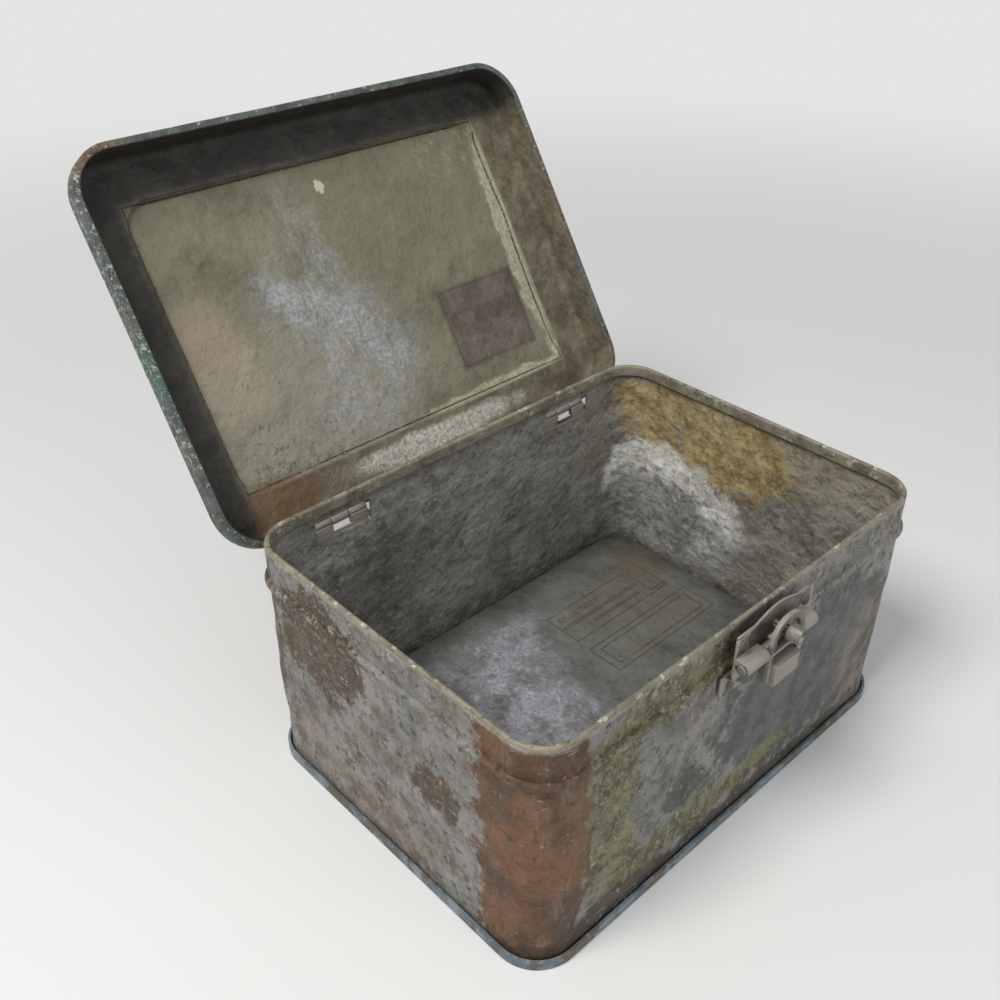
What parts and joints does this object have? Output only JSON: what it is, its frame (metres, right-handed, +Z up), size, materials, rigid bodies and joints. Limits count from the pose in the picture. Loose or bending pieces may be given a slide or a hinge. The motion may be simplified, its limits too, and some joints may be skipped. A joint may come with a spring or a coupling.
{
  "type": "tinplate storage box with hinged lid",
  "caption": "Old painted tinplate box with rounded corners, a raised inner floor, a hinged slip-over lid standing open and a front rocker clasp with a sliding bolt.",
  "frame": {"origin": "middle of the underside of the base pan", "axes": "+Z up, the clasp looks along -Y, the hinges stand on the +Y wall, +X to the right seen from the front"},
  "size_m": [0.2068, 0.2573, 0.2144],
  "materials": {
    "body_paint": "worn and chipped paint on tinplate",
    "lid_paint": "worn paint with rust and stains on tinplate",
    "inside_metal": "stained lacquer on tinplate",
    "base_metal": "chipped blue-grey paint",
    "clasp_metal": "worn nickelled steel",
    "steel": "dull worn steel"
  },
  "bodies": {
    "box": {"body_shell": "body_paint", "rim_wire": "steel", "base_pan": "base_metal", "inner_floor": "inside_metal", "hinge_leaf_left": "steel", "hinge_leaf_right": "steel", "hinge_pin_left": "steel", "hinge_pin_right": "steel", "hinge_rivets": "steel", "clasp_bracket": "clasp_metal", "shield_plate": "clasp_metal", "lower_plate": "clasp_metal", "clasp_rivets": "clasp_metal", "clasp_pin": "clasp_metal"},
    "lid": {"lid_shell": "lid_paint", "lid_rim_wire": "steel", "lid_leaf_left": "steel", "lid_leaf_right": "steel", "lid_rivets": "steel"},
    "rocker": {"rocker": "clasp_metal", "thumb_block": "clasp_metal", "block_cap": "clasp_metal"},
    "bolt": {"bolt_knob": "clasp_metal", "drive_pin": "clasp_metal"}
  },
  "joints": [
    {"name": "lid_hinge", "type": "hinge", "parent": "box", "child": "lid", "pos_m": [0, 0.0759, 0.0868], "axis": [1, 0, 0], "range_deg": [0, 123]},
    {"name": "rocker_hinge", "type": "hinge", "parent": "box", "child": "rocker", "pos_m": [0, -0.0808, 0.0894], "axis": [-1, 0, 0], "range_deg": [0, 15]},
    {"name": "bolt_slide", "type": "slide", "parent": "box", "child": "bolt", "axis": [0, 1, 0], "range_m": [0, 0.0015]}
  ],
  "couplings": [
    {"joint": "bolt_slide", "follows": "rocker_hinge", "m_per_rad": 0.0057}
  ]
}
